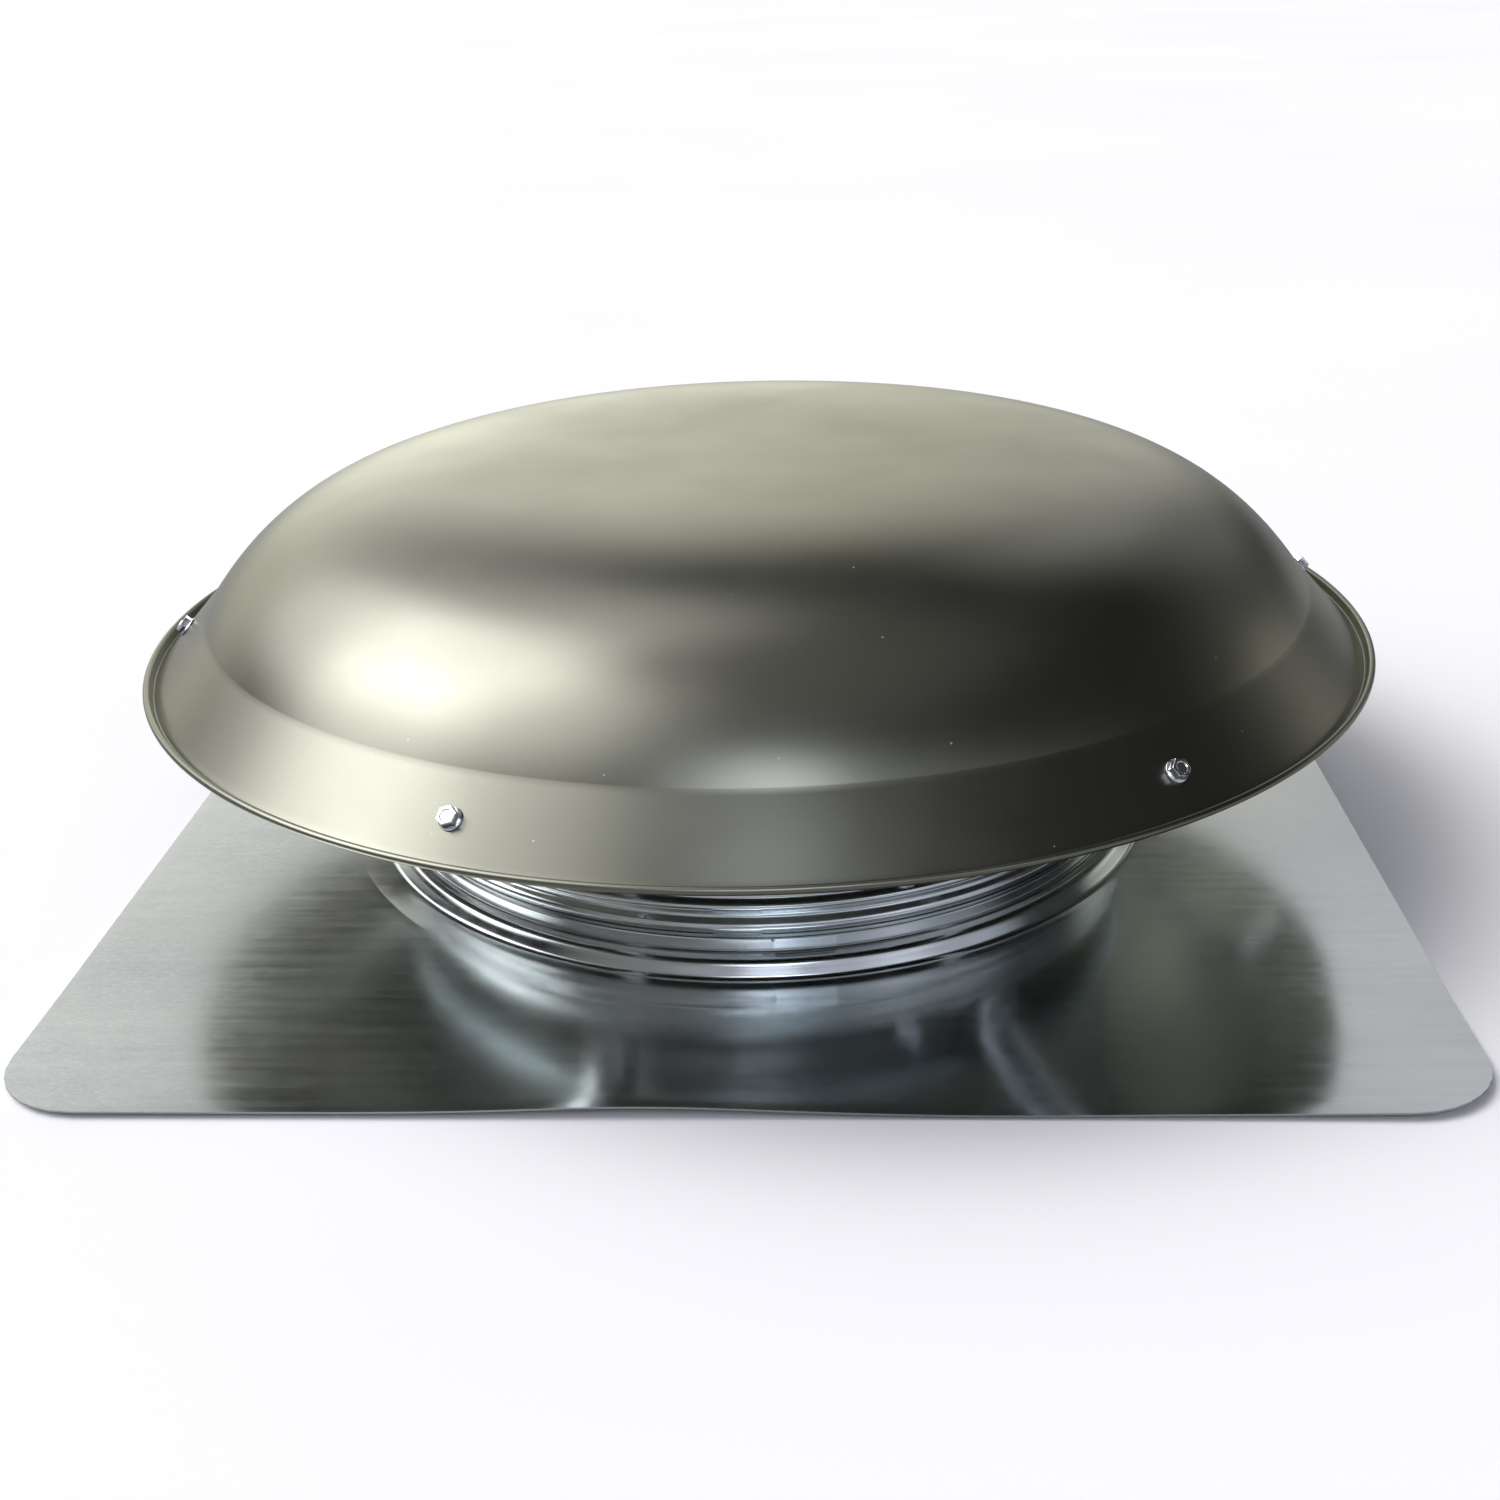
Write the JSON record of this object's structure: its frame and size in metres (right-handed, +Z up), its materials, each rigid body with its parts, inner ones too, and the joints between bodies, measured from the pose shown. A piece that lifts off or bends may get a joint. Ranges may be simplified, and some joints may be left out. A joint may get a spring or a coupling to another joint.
{
  "type": "solar attic fan",
  "caption": "Low-profile roof-mounted attic fan: round spun hood on brackets over a beaded throat and square flashing, with a DC motor and bladed fan inside.",
  "frame": {"origin": "on the fan's axis, at the underside of the flashing, where it lies on the roof", "axes": "+Z up along the fan's axis, +Y away from the camera's side, +X to the right"},
  "size_m": [0.616, 0.616, 0.1906],
  "materials": {
    "hood": "satin bronze-grey baked paint",
    "galvanised": "galvanised sheet",
    "zinc": "bright zinc plate",
    "aluminium": "mill finish",
    "motor": "black enamel",
    "steel": "turned",
    "laminations": "stamped laminations",
    "copper": "enamelled winding wire",
    "magnet": "ferrite",
    "board": "solder mask",
    "rubber": "matt",
    "plastic": "matt black"
  },
  "bodies": {
    "housing": {"arm_screw_1": "zinc", "arm_screw_2": "zinc", "arm_screw_3": "zinc", "arm_screw_4": "zinc", "bird_screen": "galvanised", "bracket_rivet_1": "steel", "bracket_rivet_2": "steel", "bracket_rivet_3": "steel", "bracket_rivet_4": "steel", "bracket_rivet_5": "steel", "bracket_rivet_6": "steel", "dc_socket": "plastic", "driver_board": "board", "flashing": "galvanised", "hood": "hood", "hood_bracket_1": "galvanised", "hood_bracket_2": "galvanised", "hood_bracket_3": "galvanised", "hood_bracket_4": "galvanised", "hood_bracket_5": "galvanised", "hood_bracket_6": "galvanised", "hood_screw_1": "zinc", "hood_screw_2": "zinc", "hood_screw_3": "zinc", "hood_screw_4": "zinc", "hood_screw_5": "zinc", "hood_screw_6": "zinc", "lead_clip_1": "zinc", "lead_clip_2": "zinc", "lead_grommet": "rubber", "lower_bearing_outer": "steel", "motor_bracket": "galvanised", "motor_can": "motor", "motor_isolator_1": "rubber", "motor_isolator_2": "rubber", "motor_isolator_3": "rubber", "motor_lead": "plastic", "motor_lower_bell": "aluminium", "motor_screw_1": "zinc", "motor_screw_2": "zinc", "motor_screw_3": "zinc", "motor_upper_bell": "aluminium", "stator_core": "laminations", "stator_winding_lower": "copper", "stator_winding_upper": "copper", "throat_collar": "galvanised", "upper_bearing_outer": "steel"},
    "fan": {"fan_blade_1": "aluminium", "fan_blade_2": "aluminium", "fan_blade_3": "aluminium", "fan_blade_4": "aluminium", "fan_blade_5": "aluminium", "fan_hub": "steel", "hub_set_screw": "motor", "lower_bearing_inner": "steel", "motor_shaft": "steel", "rotor_magnet": "magnet", "upper_bearing_inner": "steel"}
  },
  "joints": [
    {"name": "fan_spin", "type": "hinge", "parent": "housing", "child": "fan", "pos_m": [0, 0, 0.03], "axis": [0, 0, 1], "continuous": true}
  ]
}
